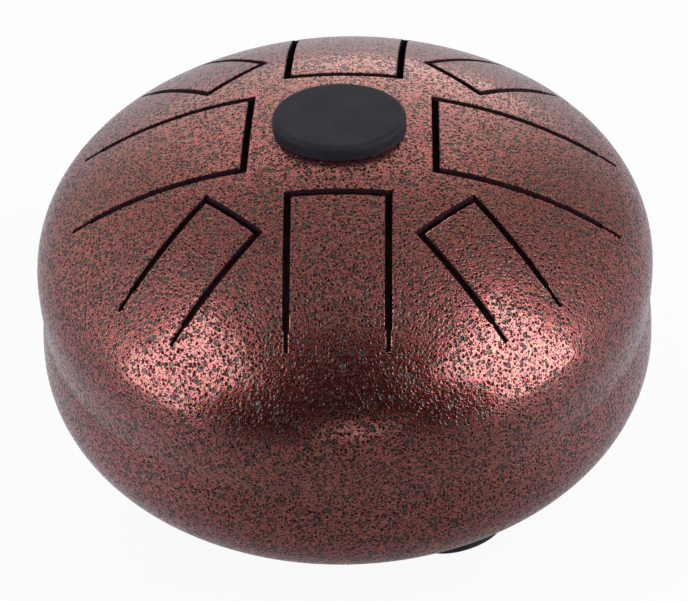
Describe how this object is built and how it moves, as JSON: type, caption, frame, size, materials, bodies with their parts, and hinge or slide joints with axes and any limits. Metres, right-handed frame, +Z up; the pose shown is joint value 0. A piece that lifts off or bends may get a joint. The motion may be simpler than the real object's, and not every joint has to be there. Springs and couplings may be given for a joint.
{
  "type": "steel tongue drum",
  "caption": "Round steel tongue drum: two welded domed shells, slit-cut tongues in the crown that spring when struck, an oval rubber cap and rubber feet.",
  "frame": {"origin": "centre of the drum's axis at floor level, where its feet rest", "axes": "+Z up along the drum's axis, -Y towards the front tongue, +X to the drum's right as seen from the front"},
  "size_m": [0.203, 0.203, 0.1493],
  "materials": {
    "hammer_finish": "copper-brown hammer-finish powder coat with dark dimples, satin gloss",
    "rubber": "matte moulded rubber",
    "zinc_steel": "bright zinc plate"
  },
  "bodies": {
    "drum": {"top_shell": "hammer_finish", "bottom_shell": "hammer_finish", "seam_weld": "hammer_finish", "centre_cap": "rubber", "foot_front_right": "rubber", "foot_back": "rubber", "foot_left": "rubber", "foot_washers": "zinc_steel", "foot_screws": "zinc_steel"},
    "tongue_front": {"tongue_front": "hammer_finish"},
    "tongue_front_right": {"tongue_front_right": "hammer_finish"},
    "tongue_right": {"tongue_right": "hammer_finish"},
    "tongue_back_right": {"tongue_back_right": "hammer_finish"},
    "tongue_back": {"tongue_back": "hammer_finish"},
    "tongue_back_left": {"tongue_back_left": "hammer_finish"},
    "tongue_left": {"tongue_left": "hammer_finish"},
    "tongue_front_left": {"tongue_front_left": "hammer_finish"}
  },
  "joints": [
    {"name": "front_flex", "type": "hinge", "parent": "drum", "child": "tongue_front", "pos_m": [0.0007, -0.08012, 0.11864], "axis": [-1, -0.0087, 0], "range_deg": [-0.5, 0.5], "stiffness_Nm_per_rad": 221},
    {"name": "front_right_flex", "type": "hinge", "parent": "drum", "child": "tongue_front_right", "pos_m": [0.06164, -0.06164, 0.11332], "axis": [-0.7071, -0.7071, 0], "range_deg": [-0.5, 0.5], "stiffness_Nm_per_rad": 204},
    {"name": "right_flex", "type": "hinge", "parent": "drum", "child": "tongue_right", "pos_m": [0.08933, 0.00203, 0.11153], "axis": [0.0227, -0.9997, 0], "range_deg": [-0.5, 0.5], "stiffness_Nm_per_rad": 213},
    {"name": "back_right_flex", "type": "hinge", "parent": "drum", "child": "tongue_back_right", "pos_m": [0.06103, 0.06431, 0.11211], "axis": [0.7254, -0.6884, 0], "range_deg": [-0.5, 0.5], "stiffness_Nm_per_rad": 211},
    {"name": "back_flex", "type": "hinge", "parent": "drum", "child": "tongue_back", "pos_m": [0.00077, 0.08786, 0.11276], "axis": [1, -0.0087, 0], "range_deg": [-0.5, 0.5], "stiffness_Nm_per_rad": 220},
    {"name": "back_left_flex", "type": "hinge", "parent": "drum", "child": "tongue_back_left", "pos_m": [-0.0599, 0.06537, 0.11211], "axis": [0.7373, 0.6756, 0], "range_deg": [-0.5, 0.5], "stiffness_Nm_per_rad": 211},
    {"name": "left_flex", "type": "hinge", "parent": "drum", "child": "tongue_left", "pos_m": [-0.08583, 0.003, 0.11435], "axis": [0.0349, 0.9994, 0], "range_deg": [-0.5, 0.5], "stiffness_Nm_per_rad": 225},
    {"name": "front_left_flex", "type": "hinge", "parent": "drum", "child": "tongue_front_left", "pos_m": [-0.06055, -0.06271, 0.11332], "axis": [-0.7193, 0.6947, 0], "range_deg": [-0.5, 0.5], "stiffness_Nm_per_rad": 198}
  ]
}
